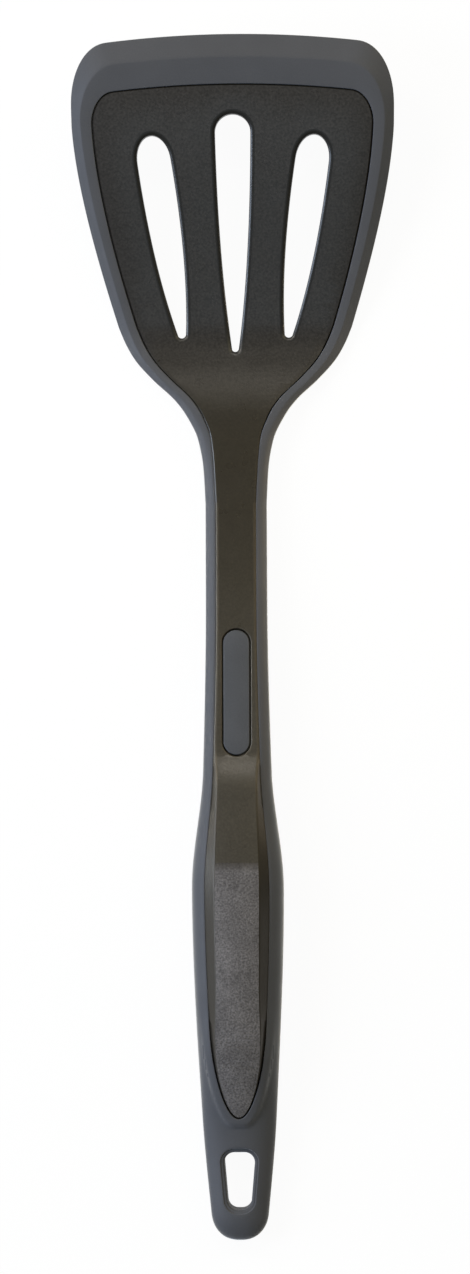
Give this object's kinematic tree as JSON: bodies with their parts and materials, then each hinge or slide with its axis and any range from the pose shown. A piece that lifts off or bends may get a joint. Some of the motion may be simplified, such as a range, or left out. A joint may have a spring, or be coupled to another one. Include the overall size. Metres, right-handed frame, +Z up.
{
  "type": "slotted spatula",
  "caption": "Slotted kitchen turner with a stiff dark nylon blade, shaft and grip spine set in a soft grey silicone rim, grip and hanging-hole end, and a bare inlay in the shaft.",
  "frame": {"origin": "middle of the footprint, on the surface the turner lies on with its working face up", "axes": "+X across the blade, +Y from the butt of the grip to the lip of the blade, +Z up out of the working face"},
  "size_m": [0.0908, 0.34, 0.021],
  "materials": {
    "nylon": "satin, fine grain on the grip",
    "silicone": "soft satin",
    "inlay": "soft satin"
  },
  "bodies": {
    "root": {"nylon_core": "nylon", "silicone_jacket": "silicone", "shaft_inlay": "inlay"}
  },
  "joints": []
}
